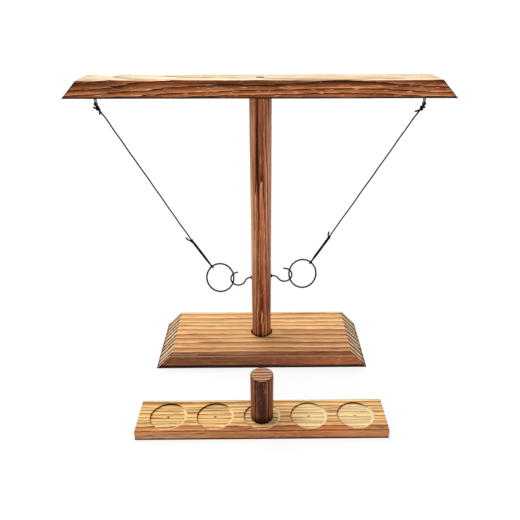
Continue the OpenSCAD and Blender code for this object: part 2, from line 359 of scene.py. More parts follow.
def bell(x, width):
    """1 where x is 0, fading to both sides over about width."""
    return np.exp(-(x / width) ** 2)


def no_wear(p, normal):
    """The wear of a piece that has none."""
    return np.zeros(len(p))


def dress_wood(obj, grain, relief, end_relief, tone, scorch_and_shade, rest_z, wear_and_highlight=no_wear):
    """Stores grain, tone, scorch and wear on obj and brushes its early wood back by relief.

    tone(p, normal) is 0 for golden and 1 for charred wood, or more where no gold may show through;
    on some faces the charred palette is partly painted shade.
    scorch is 0 to 1 for near black, partly charring and partly painted shade, and wear is 0 to 1 for
    bare, partly bare wood and partly painted highlight. All three get p in millimetres.
    A face that looks down at rest_z stays flat: the piece stands on it."""
    mesh = obj.data
    p, normal = vertex_arrays(mesh)
    ring = grain.rings(p)
    end = smoothstep(np.abs(normal[:, grain.axis]), 0.45, 0.75)
    store(mesh, "ring", ring)
    store(mesh, "end_grain", end)
    store(mesh, "tone", np.clip(tone(p / MM, normal), -0.3, 1.5))
    store(mesh, "scorch_and_shade", np.clip(scorch_and_shade(p / MM, normal), 0, 1))
    store(mesh, "wear_and_highlight", np.clip(wear_and_highlight(p / MM, normal), 0, 1))
    stretch = np.full(3, 1 / 1.1)
    stretch[grain.axis] = 1 / 14
    rough = 0.5 + 0.5 * lattice_noise(p / MM * stretch, grain.seed + 3)
    fuzz, near = 0.06 * MM, 0.4 * MM
    depth = (relief + (end_relief - relief) * end) * (1 - late_wood(ring)) + fuzz * rough
    standing = (normal[:, 2] < -0.5) & (p[:, 2] < rest_z + near)
    depth = np.where(standing, 0, depth)
    moved = p - normal * depth[:, None]
    moved[:, 2] = np.maximum(moved[:, 2], rest_z)
    mesh.vertices.foreach_set("co", moved.astype(np.float32).ravel())
    mesh.update()


# ------------------------------ materials
def srgb(r, g, b):
    """A colour given as 0-255 screen values, in the linear values that shaders take."""
    def linear(c):
        c /= 255
        return c / 12.92 if c <= 0.04045 else ((c + 0.055) / 1.055) ** 2.4
    return (linear(r), linear(g), linear(b), 1)


class Nodes:
    """Short calls for building a node material."""

    def __init__(self, name):
        self.material = bpy.data.materials.new(name)
        self.material.use_nodes = True
        self.tree = self.material.node_tree
        self.shader = next(n for n in self.tree.nodes if n.type == "BSDF_PRINCIPLED")

    def add(self, kind, inputs=None, **settings):
        node = self.tree.nodes.new(kind)
        for key, value in settings.items():
            setattr(node, key, value)
        for key, value in (inputs or {}).items():
            self.put(node.inputs[key], value)
        return node

    def put(self, socket, value):
        """Links value to socket if it is an output, and sets it there if it is a plain value."""
        if isinstance(value, bpy.types.NodeSocket):
            self.tree.links.new(value, socket)
        else:
            socket.default_value = value

    def math(self, operation, *values):
        node = self.add("ShaderNodeMath", operation=operation)
        for i, value in enumerate(values):
            self.put(node.inputs[i], value)
        return node.outputs[0]

    def attribute(self, name):
        return self.add("ShaderNodeAttribute", attribute_name=name).outputs["Fac"]

    def noise(self, scale, stretch=(1, 1, 1), detail=4, rough=0.55):
        """Noise with scale features to the metre, drawn out along an axis whose stretch is small."""
        place = self.add("ShaderNodeTexCoord").outputs["Object"]
        mapped = self.add("ShaderNodeMapping", {"Vector": place, "Scale": stretch})
        made = self.add("ShaderNodeTexNoise", {"Vector": mapped.outputs[0], "Scale": scale,
                                               "Detail": detail, "Roughness": rough})
        return made.outputs["Fac"]

    def span(self, value, low, high, to_low, to_high):
        """value moved from the range low-high to the range to_low-to_high, and held there."""
        made = self.add("ShaderNodeMapRange", {0: value, 1: low, 2: high, 3: to_low, 4: to_high})
        return made.outputs[0]

    def ramp(self, value, stops):
        """A colour ramp. stops are (place, colour) in rising order."""
        node = self.add("ShaderNodeValToRGB", {"Fac": value})
        points = node.color_ramp.elements
        points.remove(points[1])
        points[0].position = stops[0][0]
        points[0].color = stops[0][1]
        for at, level in stops[1:]:
            points.new(at).color = level
        return node.outputs[0]

    def mix(self, factor, a, b, blend="MIX"):
        """Colour a, or b where factor is 1. A Mix node keeps its colours in sockets 6, 7 and 2."""
        node = self.add("ShaderNodeMix", data_type="RGBA", blend_type=blend)
        self.put(node.inputs[0], factor)
        self.put(node.inputs[6], a)
        self.put(node.inputs[7], b)
        return node.outputs[2]

    def bump(self, height, distance, strength):
        made = self.add("ShaderNodeBump", {"Height": height, "Distance": distance,
                                           "Strength": strength})
        return made.outputs[0]


RING_STOPS = (0.03, 0.12, 0.50, 0.82, 0.94)


def ring_ramp(m, phase, colours):
    """Colour across one growth ring, from a palette of five: a thin pale line, early wood, the
    middle, late wood and a dark line, which also closes the ring."""
    return m.ramp(phase, [(0, colours[4]), *zip(RING_STOPS, colours), (0.98, colours[4])])


def wood_material(name, axis, golden, burnt, ends, contrast, veins, end_pace=1.0):
    """Brushed, flame-charred softwood whose fibres run along axis.

    golden, burnt and ends are palettes: clean wood, charred wood and cut ends. contrast is
    how far the streaks run from pale to dark and veins how dark the hair-thin lines are.
    end_pace is how many bands a cut end shows for each growth ring."""
    m = Nodes(name)

    def fibre(along):
        """The stretch that draws a noise out along the fibres."""
        return [along if i == axis else 1 for i in range(3)]

    hair = m.noise(2600, fibre(0.03), 3, 0.6)
    fine = m.noise(1000, fibre(0.022), 4, 0.62)
    streak = m.noise(340, fibre(0.03), 4, 0.6)
    broad = m.noise(120, fibre(0.06), 3, 0.5)
    patch = m.noise(26, fibre(0.4), 3, 0.5)
    ragged = m.math("ADD", m.span(streak, 0.3, 0.7, -0.13, 0.13),
                    m.span(fine, 0.3, 0.7, -0.06, 0.06))
    phase = m.math("FRACT", m.math("ADD", m.attribute("ring"), ragged))

    tone = m.math("ADD", m.attribute("tone"), m.span(patch, 0.3, 0.7, -0.15, 0.15))
    tone = m.math("ADD", tone, m.span(broad, 0.35, 0.65, -0.13, 0.13))
    tone = m.math("MINIMUM", m.math("MAXIMUM", tone, 0.0), 1.0)
    colour = m.mix(tone, ring_ramp(m, phase, golden), ring_ramp(m, phase, burnt))

    shade = m.span(streak, 0.35, 0.65, 1 - contrast, 1 + contrast)
    shade = m.math("MULTIPLY", shade, m.span(fine, 0.35, 0.65, 1 - contrast, 1 + contrast))
    shade = m.math("MULTIPLY", shade, m.span(hair, 0.32, 0.68, 0.86, 1.13))
    grey = m.add("ShaderNodeCombineColor", {0: shade, 1: shade, 2: shade}).outputs[0]
    colour = m.mix(1.0, colour, grey, "MULTIPLY")
    pores = m.span(m.noise(760, fibre(0.05), 2, 0.4), 0.62, 0.70, 0, 0.55)
    colour = m.mix(pores, colour, burnt[4])
    wander = m.noise(210, fibre(0.045), 3, 0.55)
    near = m.math("ABSOLUTE", m.math("SUBTRACT", wander, 0.5))
    thin = m.math("MULTIPLY", m.span(near, 0.006, 0.030, veins, 0.0),
                  m.span(hair, 0.3, 0.6, 1.0, 0.5))
    thin = m.math("MULTIPLY", thin, m.span(tone, 0.0, 1.0, 0.25, 1.0))
    colour = m.mix(thin, colour, burnt[4])
    chips = m.span(m.noise(1000, fibre(0.09), 3, 0.6), 0.60, 0.67, 0, 0.85)
    colour = m.mix(m.math("MULTIPLY", chips, tone), colour, burnt[0])

    bands = m.math("MULTIPLY", m.attribute("ring"), end_pace)
    steady = m.math("FRACT", m.math("ADD", bands, m.span(fine, 0.3, 0.7, -0.03, 0.03)))
    cut = m.ramp(steady, [(0.0, ends[0]), (0.21, ends[0]), (0.28, ends[1]), (0.41, ends[1]),
                         (0.46, ends[0]), (0.60, ends[0]), (0.65, ends[2]), (0.96, ends[2])])
    cut = m.mix(m.span(fine, 0.3, 0.7, 0.0, 0.12), cut, ends[1])
    colour = m.mix(m.attribute("end_grain"), colour, cut)

    # The scorch attribute darkens towards near black: charring, and in places painted shade and
    # painted contact shadow.
    burn_and_shade = m.math("MULTIPLY", m.attribute("scorch_and_shade"), m.span(streak, 0.3, 0.7, 1.25, 0.72))
    colour = m.mix(m.math("MINIMUM", burn_and_shade, 1.0), colour, srgb(42, 15, 8))
    # The wear attribute lightens towards pale cream: bare wood, and at the ladder's recess rims a
    # painted highlight.
    colour = m.mix(m.attribute("wear_and_highlight"), colour, golden[0])
    m.put(m.shader.inputs["Base Color"], colour)
    m.put(m.shader.inputs["Roughness"], m.span(fine, 0.3, 0.7, 0.50, 0.72))
    m.shader.inputs["Specular IOR Level"].default_value = 0.10
    relief = m.math("ADD", fine, m.math("MULTIPLY", hair, 0.35))
    m.put(m.shader.inputs["Normal"], m.bump(relief, 0.00030, 0.6))
    return m.material


def metal_material(name, bright, dull, rough):
    """Plated steel wire with drawing marks and small stains. On the hook, the pale and near-black
    patches are partly painted reflection.
    """
    m = Nodes(name)
    stains_and_sheen = m.noise(260)
    mark = m.noise(2600, detail=3, rough=0.7)
    m.put(m.shader.inputs["Base Color"], m.mix(m.span(stains_and_sheen, 0.35, 0.7, 0, 1), bright, dull))
    m.put(m.shader.inputs["Roughness"], m.span(mark, 0.3, 0.7, rough - 0.08, rough + 0.12))
    m.put(m.shader.inputs["Normal"], m.bump(mark, 0.00003, 0.5))
    m.shader.inputs["Metallic"].default_value = 1.0
    m.shader.inputs["Specular Tint"].default_value = (0.35, 0.34, 0.32, 1)
    return m.material


def cord_material(name):
    """Black waxed twisted thread."""
    m = Nodes(name)
    fuzz = m.noise(5200, rough=0.7)
    m.put(m.shader.inputs["Base Color"], m.mix(fuzz, srgb(2, 2, 3), srgb(14, 13, 13)))
    m.put(m.shader.inputs["Roughness"], m.span(fuzz, 0.3, 0.7, 0.62, 0.85))
    m.put(m.shader.inputs["Normal"], m.bump(fuzz, 0.00006, 0.7))
    m.shader.inputs["Specular IOR Level"].default_value = 0.2
    return m.material


def palette(*colours):
    """Screen colours as shader colours."""
    return [srgb(*colour) for colour in colours]


# For each wood: its golden, burnt and cut-end palettes, then its contrast and veins.
WOODS = {
    "base": wood_material("base_wood", 0,
        palette((255, 236, 190), (246, 200, 138), (236, 182, 120), (204, 142, 86), (160, 98, 52)),
        palette((240, 180, 134), (206, 134, 88), (170, 92, 54), (118, 50, 27), (60, 22, 12)),
        palette((255, 233, 190), (170, 88, 38), (50, 15, 4)), 0.22, 0.25),
    "post": wood_material("post_wood", 2,
        palette((232, 200, 156), (210, 162, 126), (186, 128, 98), (150, 94, 72), (100, 52, 38)),
        palette((232, 160, 114), (208, 130, 84), (188, 106, 64), (152, 78, 46), (84, 32, 15)),
        palette((206, 158, 112), (150, 96, 60), (70, 34, 20)), 0.34, 0.75),
    # The crossbar's near-white golden palette is its clean top wood with a painted highlight.
    "crossbar": wood_material("crossbar_wood", 0,
        palette((255, 250, 232), (255, 242, 212), (255, 232, 194), (240, 208, 162), (204, 164, 118)),
        palette((255, 196, 146), (216, 134, 78), (188, 104, 52), (132, 60, 28), (52, 17, 7)),
        palette((150, 96, 60), (96, 52, 30), (30, 14, 8)), 0.30, 0.70),
    "ladder": wood_material("ladder_wood", 0,
        palette((255, 242, 196), (252, 214, 146), (240, 190, 120), (204, 144, 80), (136, 80, 36)),
        palette((236, 166, 112), (212, 132, 80), (190, 108, 62), (150, 78, 42), (88, 38, 16)),
        palette((226, 176, 126), (176, 118, 74), (70, 36, 20)), 0.24, 0.35),
    "peg": wood_material("peg_wood", 2,
        palette((224, 168, 124), (176, 104, 66), (138, 70, 40), (92, 40, 20), (46, 16, 8)),
        palette((176, 124, 92), (128, 76, 52), (96, 54, 38), (66, 34, 24), (36, 16, 10)),
        palette((228, 172, 134), (170, 108, 76), (56, 26, 14)), 0.34, 0.6, end_pace=0.5),
}
STEEL = {
    "screw": metal_material("screw_steel", srgb(128, 118, 104), srgb(74, 66, 56), 0.42),
    "eye": metal_material("eye_steel", srgb(132, 134, 137), srgb(58, 58, 59), 0.30),
    # The hook's pale and near-black patches are partly painted reflection.
    "hook": metal_material("hook_steel", srgb(92, 82, 58), srgb(11, 10, 7), 0.32),
    "ring": metal_material("ring_steel", srgb(56, 54, 51), srgb(12, 11, 11), 0.30),
}
CORD = cord_material("cord_black")


def finish_piece(obj, material, body, node):
    """Gives a piece its material, its body and the CAD node that it replaces."""
    obj.data.materials.clear()
    obj.data.materials.append(material)
    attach(obj, body)
    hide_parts(node)


# ------------------------------ cords
CORD_D = 1.6 * MM

# Places in mm, with X growing away from the post. Tags are the free ends, from their knot.
CORD_ROUTE = {
    "left": [(170.5, 0, 304), (163, 0, 292.5), (157, 0, 281.5), (150.5, 0, 270.5),
             (144.5, 0, 259.5), (138, 0, 248.5), (132, 0, 238), (125.5, 0, 227),
             (119.5, 0, 216), (113, 0, 205), (107, 0, 194), (100.5, 0, 183),
             (94.5, 0, 172), (88, 0, 161.5), (82, 0, 150.5)],
    "right": [(170.5, 0, 304), (163, 0, 293), (156.5, 0, 282), (150, 0, 271.5),
              (144, 0, 261), (137.5, 0, 250), (131, 0, 239.5), (125, 0, 229),
              (118.5, 0, 218.5), (112, 0, 207.5), (106, 0, 197), (99.5, 0, 186.5),
              (93, 0, 176), (86.5, 0, 165), (80.5, 0, 154.5)],
}
LOOP_PIVOT = {"left": (78.5, 0, 145.5), "right": (77.5, 0, 149.5)}
UPPER_TAGS = {"left": [(4, -1, 1.5), (-0.5, 1, -6)], "right": [(-6.5, -1, -3), (3.5, 1.5, 0)]}
LOWER_TAGS = {"left": [(6.5, -2.5, 5.5)], "right": [(-0.5, -2.5, 8)]}
EYE_SEAT = (EYE_X, 0, EYE_Z - EYE_R)
EYE_TURN = math.radians(60)
HOOK_Z = {"left": 101, "right": 103}
HOOK_TILT = {"left": math.radians(-6.5), "right": math.radians(4.4)}
RING_TURN, RING_LEAN = math.radians(24), math.radians(32)
LOOP_ANGLE = math.radians(116)
RING_FROM_CURL = (21.5, -4, 4)
# The ring's plane: the point at angle t of its wire is along cos(t) RING_U + sin(t) RING_W.
RING_U = np.array([-math.cos(RING_TURN), math.sin(RING_TURN), 0])
RING_W = np.array([math.sin(RING_TURN) * math.sin(RING_LEAN),
                   math.cos(RING_TURN) * math.sin(RING_LEAN), math.cos(RING_LEAN)])


def outward(points, side):
    """Millimetre points whose X grows away from the post, in the frame's metres."""
    p = np.atleast_2d(np.asarray(points, float)) * MM
    p[:, 0] *= SIDES[side]
    return p


def rope(path, diameter, open_end=False):
    """A twisted cord along path: one skin whose round plies wind along it."""
    lay, plies, sides = 3.4 * MM, 3, 18
    core, ply = 0.34 * diameter / 2, 0.74 * diameter / 2
    step = np.linalg.norm(np.diff(path, axis=0), axis=1)
    along = np.concatenate([[0], np.cumsum(step)])
    turn = np.linspace(0, 2 * math.pi, sides, endpoint=False)
    twist = turn[None] - 2 * math.pi * along[:, None] / lay
    share = 2 * math.pi / plies
    off = np.mod(twist + share / 2, share) - share / 2
    radius = core * np.cos(off) + np.sqrt(np.maximum(ply ** 2 - (core * np.sin(off)) ** 2, 0))
    if open_end:
        left = np.clip((along[-1] - along) / (0.5 * diameter), 0, 1)
        radius = radius * (0.35 + 0.65 * np.sqrt(1 - (1 - left) ** 2))[:, None]
    return tube(path, radius, sides)


def overhand(centre, axis_to, size):
    """The middle line of a tight overhand knot at centre, its length along axis_to."""
    t = np.linspace(0.35, 2 * math.pi - 0.35, 70)
    knot = np.stack([np.sin(t) + 2 * np.sin(2 * t), np.cos(t) - 2 * np.cos(2 * t),
                     -np.sin(3 * t)], 1)
    z = unit(np.asarray(axis_to, float))
    x = unit(np.cross(z, (0, 1, 0)))
    y = np.cross(z, x)
    bulk = knot[:, :1] * z * 1.15 + knot[:, 1:2] * x * 0.75 + knot[:, 2:] * y * 1.2
    return centre + size * bulk


def free_end(start, reach):
    """The line of a short free end with a slight curl."""
    start, reach = np.asarray(start), np.asarray(reach)
    sway = np.cross(unit(reach), (0, 1, 0)) * np.linalg.norm(reach) * 0.12
    return smooth_path([start, start + reach * 0.5 + sway, start + reach], 0.3 * MM)


def make_cord(side):
    """One cord: its single stretch, the knot at the eye, the long knot and the doubled end."""
    body = f"pendulum_{side}"
    route = outward(CORD_ROUTE[side], side)
    pivot = outward(LOOP_PIVOT[side], side)[0]
    eye = outward(EYE_SEAT, side)[0]
    down = unit(route[-1] - route[0])

    line = smooth_path(route, 0.35 * MM)
    cord = mesh_object(f"twisted_cord_{side}", *rope(line, CORD_D))
    finish_piece(cord, CORD, body, f"cord_{side}")

    along_eye = np.array([SIDES[side] * math.cos(EYE_TURN), math.sin(EYE_TURN), 0])
    across = unit(np.cross(along_eye, down))
    room = 1.55 * MM
    turn = np.linspace(0, math.pi, 9)
    bight = [eye + room * (np.cos(t) * across - np.sin(t) * down) for t in turn]
    going = route[0] * 0.5 + bight[0] * 0.3 + bight[-1] * 0.2
    coming = route[0] * 0.5 + bight[-1] * 0.3 + bight[0] * 0.2
    bight_line = smooth_path([route[0], going, *bight, coming, route[0]], 0.3 * MM)
    parts = [rope(bight_line, CORD_D),
             rope(overhand(route[0], down, 0.74 * MM), CORD_D * 1.05)]
    parts += [rope(free_end(route[0], outward(t, side)[0] * 1.15), CORD_D * 1.2, open_end=True)
              for t in UPPER_TAGS[side]]
    upper = mesh_object(f"eye_knot_{side}", *join_parts(parts))
    finish_piece(upper, CORD, body, f"upper_knot_{side}")

    neck = pivot - route[-1]
    share = np.linspace(0, 1, 110)[:, None]
    half_turns, wrap_r = 7, 0.95 * MM
    wrap = share * half_turns * math.pi
    x = unit(np.cross(neck, (0, 1, 0)))
    y = np.cross(unit(neck), x)
    coil = route[-1] + neck * share + wrap_r * (np.cos(wrap) * x + np.sin(wrap) * y)
    parts = [rope(overhand(route[-1], down, 0.56 * MM), CORD_D), rope(coil, CORD_D * 0.9),
             rope(overhand(pivot, neck, 0.50 * MM), CORD_D * 0.95)]
    parts += [rope(free_end(route[-1], outward(t, side)[0] * 1.08), CORD_D * 1.15, open_end=True)
              for t in LOWER_TAGS[side]]
    lower = mesh_object(f"long_knot_{side}", *join_parts(parts))
    finish_piece(lower, CORD, body, f"lower_knot_{side}")

    make_loop(side)


def ring_centre(side):
    """Middle of a ring, in mm with X growing away from the post."""
    tilt = HOOK_TILT[side]
    out, rise = HOOK_REACH * math.cos(tilt), HOOK_REACH * math.sin(tilt)
    return np.array([POST_R + out, 0, HOOK_Z[side] + rise]) + RING_FROM_CURL


def make_loop(side):
    """The doubled end of the cord, from the long knot round the ring and back. Its two legs pass
    on either side of the ring's wire and make a quarter turn on their way to the knot."""
    spoke = math.cos(LOOP_ANGLE) * RING_U + math.sin(LOOP_ANGLE) * RING_W
    wire = -math.sin(LOOP_ANGLE) * RING_U + math.cos(LOOP_ANGLE) * RING_W
    seat = ring_centre(side) + RING_R * spoke
    top = np.array(LOOP_PIVOT[side], float)
    up = unit(top - seat)
    across = unit(np.cross(wire, up))
    reach, gap, under_knot, leg_end = 1.85, 0.72, 1.7, 0.89
    turn = np.linspace(0, math.pi, 9)
    bight = [seat + reach * (np.cos(t) * across - np.sin(t) * up) for t in turn]
    high = top - under_knot * up
    length = np.linalg.norm(high - seat)
    legs = []
    normal = np.cross(across, up)
    for sign in (1, -1):
        leg = []
        for share in np.linspace(0, leg_end, 12):
            wind = math.pi / 2 * min(1, (leg_end - share) / 0.4)
            spread = gap * (1 + 0.35 * max(0, share - 0.8) / 0.09)
            around = math.cos(wind) * across + math.sin(wind) * normal
            leg.append(high - up * length * share + sign * spread * around)
        legs.append(leg)
    line = smooth_path(outward([*legs[0], *bight, *legs[1][::-1]], side), 0.35 * MM)
    loop = mesh_object(f"ring_tie_{side}", *rope(line, CORD_D * 0.98))
    finish_piece(loop, CORD, f"loop_{side}", f"ring_loop_{side}")


for each_side in SIDES:
    make_cord(each_side)


# ------------------------------ wire parts
def make_ring(side):
    """A ring of wire, swollen at its weld and a little thinner beside it."""
    turn = np.linspace(0, 2 * math.pi, 220, endpoint=False)[:, None]
    spoke = np.cos(turn) * RING_U + np.sin(turn) * RING_W
    line = outward(ring_centre(side) + RING_R * spoke, side)
    from_weld = np.abs(turn[:, 0] - 4.2)
    swell = 0.10 * bell(from_weld, 0.035) - 0.06 * bell(from_weld - 0.09, 0.03)
    radius = WIRE_R * MM * (1 + swell)
    ring = mesh_object(f"wire_ring_{side}", *tube(line, radius, 20, closed=True))
    finish_piece(ring, STEEL["ring"], f"ring_{side}", f"ring_{side}")


def make_hook(side):
    """A screw hook: a shank in the post, a neck that bends down, an open curl and a collar."""
    straight, tip = 2, math.radians(98)
    neck_r = ((HOOK_REACH - straight) ** 2 - HOOK_CURL_R ** 2) / (2 * HOOK_CURL_R)
    neck = math.atan2(neck_r, HOOK_REACH - straight)
    bend = [(straight + neck_r * math.cos(a), neck_r * (math.sin(a) - 1))
            for a in np.linspace(math.pi / 2, neck, 14)]
    curl = [(HOOK_REACH + HOOK_CURL_R * math.cos(a), HOOK_CURL_R * math.sin(a))
            for a in np.linspace(neck - math.pi, tip, 60)[1:]]
    out, rise = np.array([(-9.5, 0), (-5, 0), (0, 0), *bend, *curl]).T
    tilt = HOOK_TILT[side]
    x = POST_R + out * math.cos(tilt) - rise * math.sin(tilt)
    z = HOOK_Z[side] + out * math.sin(tilt) + rise * math.cos(tilt)
    line = smooth_path(outward(np.stack([x, 0 * x, z], 1), side), 0.3 * MM)
    step = float(np.linalg.norm(np.diff(line, axis=0), axis=1).mean())
    wire = tube(line, rounded_ends(len(line), WIRE_R * MM, step), 18)
    along = np.array([math.cos(tilt) * SIDES[side], 0, math.sin(tilt)])
    root = outward((POST_R, 0, HOOK_Z[side]), side)[0]
    at = np.array([0.0, 0.05, 0.25, 0.75, 1.0, 1.25, 1.5]) * MM
    collar_r = np.array([1.0, 2.2, 2.5, 2.5, 2.2, 1.35, 1.0]) * MM
    collar = tube(root + along * at[:, None], collar_r, 28)
    hook = mesh_object(f"screw_hook_{side}", *join_parts([wire, collar]))
    finish_piece(hook, STEEL["hook"], "stand", f"hook_{side}")


def make_eye(side):
    """A screw eye: a nearly closed loop, turned about Z, and a shank up into the crossbar."""
    wire_r, start, sweep = 0.7, 100, 338
    turn = np.linspace(math.radians(start), math.radians(start + sweep), 60)
    loop = [(EYE_R * math.cos(t), EYE_Z + EYE_R * math.sin(t)) for t in turn][::-1]
    shank = [(0, EYE_Z + EYE_R + d) for d in (1.0, 2.5, 6, 11, 12.4)]
    points = [(EYE_X + u * math.cos(EYE_TURN), u * math.sin(EYE_TURN), z)
              for u, z in [*loop, *shank]]
    line = smooth_path(outward(points, side), 0.25 * MM)
    step = float(np.linalg.norm(np.diff(line, axis=0), axis=1).mean())
    wire = tube(line, rounded_ends(len(line), wire_r * MM, step), 16)
    eye = mesh_object(f"wire_eye_{side}", *wire)
    finish_piece(eye, STEEL["eye"], "stand", f"eye_screw_{side}")


for each_side in SIDES:
    make_ring(each_side)
    make_hook(each_side)
    make_eye(each_side)


def make_screw(name, node, top_z, up):
    """A countersunk wood screw with a cross recess and a thread. up is 1 if its head is on top."""
    head_r, shank_r, length = 4, 1.55, 42.5
    thread_turns, thread_end, thread_run = 15, 1.5, 28.5
    shape = filled_profile([(0, -length), (0.4, -length + 1), (shank_r, -length + 5), (shank_r, -12),
                            (1.9, -11.5), (1.9, -2.9), (head_r - 0.15, -0.55), (head_r, -0.4),
                            (head_r, -0.12), (head_r - 0.2, 0), (0, 0)], 0.5)
    verts, faces = lathe(shape, 40)
    screw = mesh_object(name, verts * MM, faces)
    bars = []
    for a in (0, math.pi / 2):
        v, f = cube_grid(2, 2, [0, 1])
        uneven = 0.1 * a  # keeps the two bars' faces from lying in one plane
        v = v * (2.1, 0.45, 2.5 - uneven) - (0, 0, 1.5 - uneven)
        spin = np.array([[math.cos(a), -math.sin(a), 0], [math.sin(a), math.cos(a), 0], [0, 0, 1]])
        bars.append(((v @ spin.T) * MM, f))
    carve(screw, bars)
    coil = np.linspace(0, 1, 420)
    r = np.interp(coil, [0, 0.12, 1], [0.7, shank_r, shank_r])
    angle = 2 * math.pi * thread_turns * coil
    height = thread_end - length + coil * thread_run
    thread_line = np.stack([r * np.cos(angle), r * np.sin(angle), height], 1) * MM
    thread = mesh_object("thread", *tube(thread_line, 0.38 * MM, 6))
    screw.data = merged(screw, thread)
    p, _ = vertex_arrays(screw.data)
    p[:, 2] *= up
    if up < 0:
        p[:, 1] *= -1
    p[:, 2] += top_z * MM
    screw.data.vertices.foreach_set("co", p.astype(np.float32).ravel())
    screw.data.update()
    finish_piece(screw, STEEL["screw"], "stand", node)


def merged(first, second):
    """The meshes of two objects as one. The second object goes."""
    parts = []
    for obj in (first, second):
        co, _ = vertex_arrays(obj.data)
        parts.append((co, [list(f.vertices) for f in obj.data.polygons]))
    made = mesh_object("merged", *join_parts(parts))
    mesh = made.data
    bpy.data.objects.remove(made)
    bpy.data.objects.remove(second)
    return mesh


make_screw("base_wood_screw", "base_screw", 3, -1)
make_screw("bar_wood_screw", "crossbar_screw", BAR_TOP, 1)


# ------------------------------ wood parts
# In each piece's tone, scorch and wear, p is in mm. Their numbers say where single marks lie on
# the piece, how wide they are and how strong. A few dark marks are painted shade and a few pale
# ones painted highlight, as said where they stand.
def moved(shape, by):
    """(verts, faces) shifted by a vector."""
    v, f = shape
    return np.asarray(v) + np.asarray(by), f


def hole(radius, low, high, step=1.2, segments=96, sink=()):
    """A closed round cutter from low to high, with its faces cut fine for the grain. sink lists
    (radius, z) points where it widens on the way up. Sizes in mm, but the shape is in metres."""
    mouth = sink[-1][0] if sink else radius
    points = [(0, low), (radius, low), *sink, (mouth, high), (0, high)]
    v, f = lathe(filled_profile(points, step), segments)
    return v * MM, f


def node_box(node):
    """The low and high corner of a CAD node, in metres."""
    low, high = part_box(node)
    return np.array(low), np.array(high)


def make_base():
    """The base: bevelled ends, a socket for the post and a counterbore underneath."""
    low, high = node_box("base")
    bevel, edge_r, socket_r, floor_z = 20.5, 4, 13, 13.5
    obj = mesh_object("base_board", *board(low, high, bevel * MM, edge_r * MM, 1.1 * MM))
    soften(obj, 0.5 * MM)
    carve(obj, [hole(socket_r, floor_z, 24), hole(4.5, -2, 3)])
    grain = Grain(0, (-233.3, 8), 9.5, wave=0.15, uneven=0.10, seed=11)

    def tone(p, normal):
        x, y, _ = p.T
        front = smoothstep(-y, 0, 50)
        beside = bell(y + 6, 9) * smoothstep(x, 12, 34)
        left = bell(y + 12, 16) * smoothstep(-x, 12, 60)
        # Faces turned to the front go over to the charred palette: darker wood with painted shade of
        # faces that the light misses.
        frayed = 0.25 * lattice_noise(p / (14, 5, 3), 3)
        lean = smoothstep(frayed - normal[:, 1], 0.6, 0.98)
        return 0.04 + 0.50 * front + 0.5 * beside + 0.34 * left + 0.55 * lean

    def scorch_and_shade(p, normal):
        x, y, z = p.T
        end = smoothstep(np.abs(normal[:, 0]), 0.45, 0.70)
        # A dark line along the foot: a burnt edge with painted contact shadow.
        low_edge = (1 - smoothstep(z, 2.6, 4.8)) * (1 - 0.85 * end)
        right = smoothstep(x, -20, 110)
        # The front face and the rounded edge above it darken, more to the left: charring with
        # painted shade.
        face = smoothstep(-normal[:, 1], 0.75, 0.95) * (0.52 - 0.42 * right)
        round_edge = smoothstep(-y, 36, 45.5) * smoothstep(z, 17.6, 18.6)
        round_edge = round_edge * (0.06 - 0.03 * right)
        crease = bell(y + 46.3, 1.1) * (z > 17.4) * (0.35 + 0.25 * right)
        rim = 1 - smoothstep(np.abs(np.hypot(x, y) - socket_r), 0.2, 1.0)
        end_edge = smoothstep(np.abs(x), 128.4, 129.6)
        return low_edge + face + round_edge + crease + 0.9 * rim * (z > 12) + 0.6 * end_edge

    def wear_and_highlight(p, normal):
        x, y, z = p.T
        return 0.32 * bell(z - 17.2 + 0.004 * x, 0.7) * (y < -46)

    dress_wood(obj, grain, 0.40 * MM, 0.9 * MM, tone, scorch_and_shade, 0, wear_and_highlight)
    finish_piece(obj, WOODS["base"], "stand", "base")


